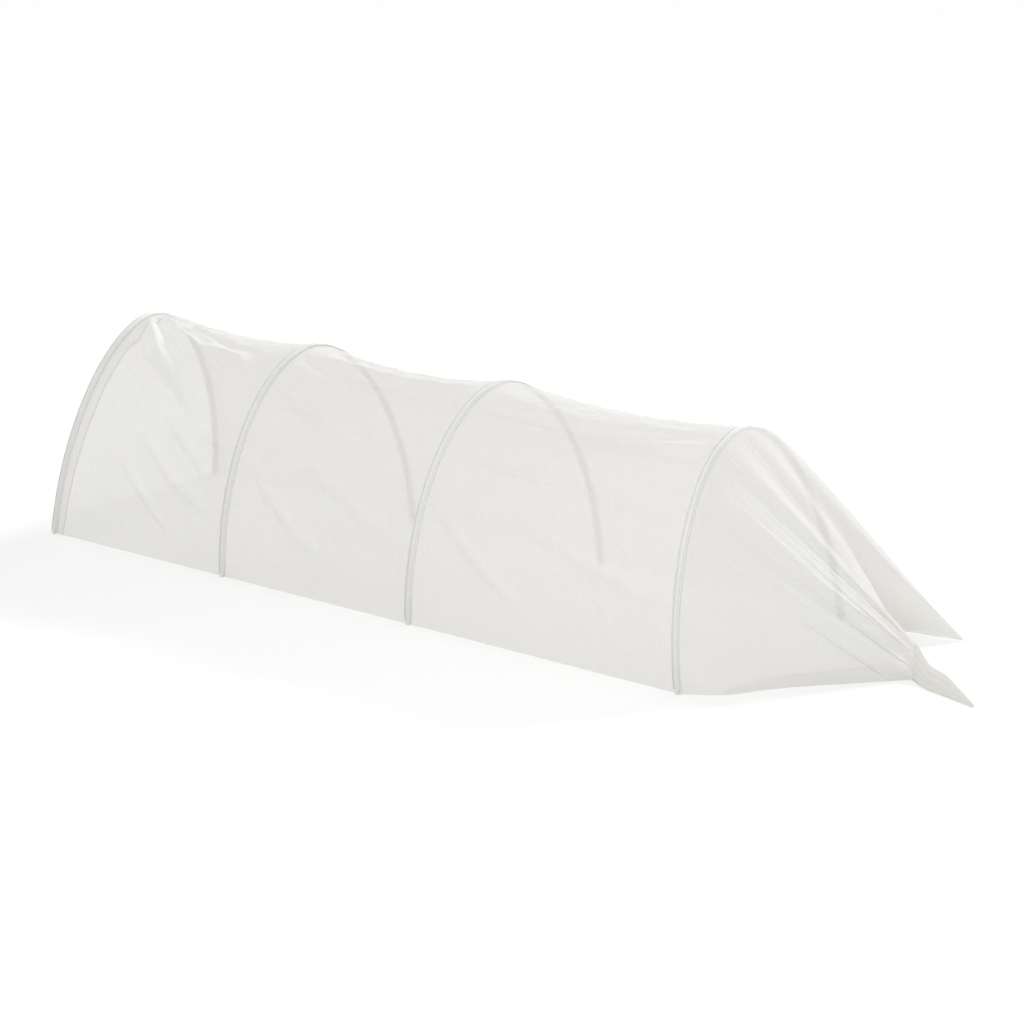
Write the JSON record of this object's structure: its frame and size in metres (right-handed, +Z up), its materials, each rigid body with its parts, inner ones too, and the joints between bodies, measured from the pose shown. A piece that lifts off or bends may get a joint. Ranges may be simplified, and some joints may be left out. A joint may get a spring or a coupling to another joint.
{
  "type": "row cover tunnel",
  "caption": "Low garden tunnel of pale fleece held up by arched hoops in sewn channels, open at one end and gathered to a point at the other.",
  "frame": {"origin": "ground level below the middle of the whole tunnel", "axes": "+X along the tunnel from the open front towards the gathered tail, +Y away from the pictured side, +Z up"},
  "size_m": [2.236, 0.6148, 0.45],
  "materials": {
    "coated_rod": "white coated bent rod",
    "channel_fleece": "white non-woven fleece, doubled and stitched over the rod",
    "cover_fleece": "thin warm white non-woven fleece, see-through against dark things",
    "hem_fleece": "the same fleece turned over double"
  },
  "bodies": {
    "front": {"hoop_1": "coated_rod", "channel_1": "channel_fleece", "cover_arch_1": "cover_fleece", "front_hem": "hem_fleece", "cover_bay_1": "cover_fleece"},
    "second": {"hoop_2": "coated_rod", "channel_2": "channel_fleece", "cover_arch_2": "cover_fleece", "cover_bay_2": "cover_fleece"},
    "third": {"hoop_3": "coated_rod", "channel_3": "channel_fleece", "cover_arch_3": "cover_fleece", "cover_bay_3": "cover_fleece"},
    "rear": {"hoop_4": "coated_rod", "channel_4": "channel_fleece", "cover_arch_4": "cover_fleece", "cover_end": "cover_fleece", "end_hem": "hem_fleece", "cover_tail": "cover_fleece"}
  },
  "joints": [
    {"name": "bay_1_fold", "type": "slide", "parent": "front", "child": "second", "axis": [-1, 0, 0], "range_m": [0, 0.386], "deforming": ["cover_bay_1"]},
    {"name": "bay_2_fold", "type": "slide", "parent": "second", "child": "third", "axis": [-1, 0, 0], "range_m": [0, 0.424], "deforming": ["cover_bay_2"]},
    {"name": "bay_3_fold", "type": "slide", "parent": "third", "child": "rear", "axis": [-1, 0, 0], "range_m": [0, 0.501], "deforming": ["cover_bay_3"]}
  ]
}
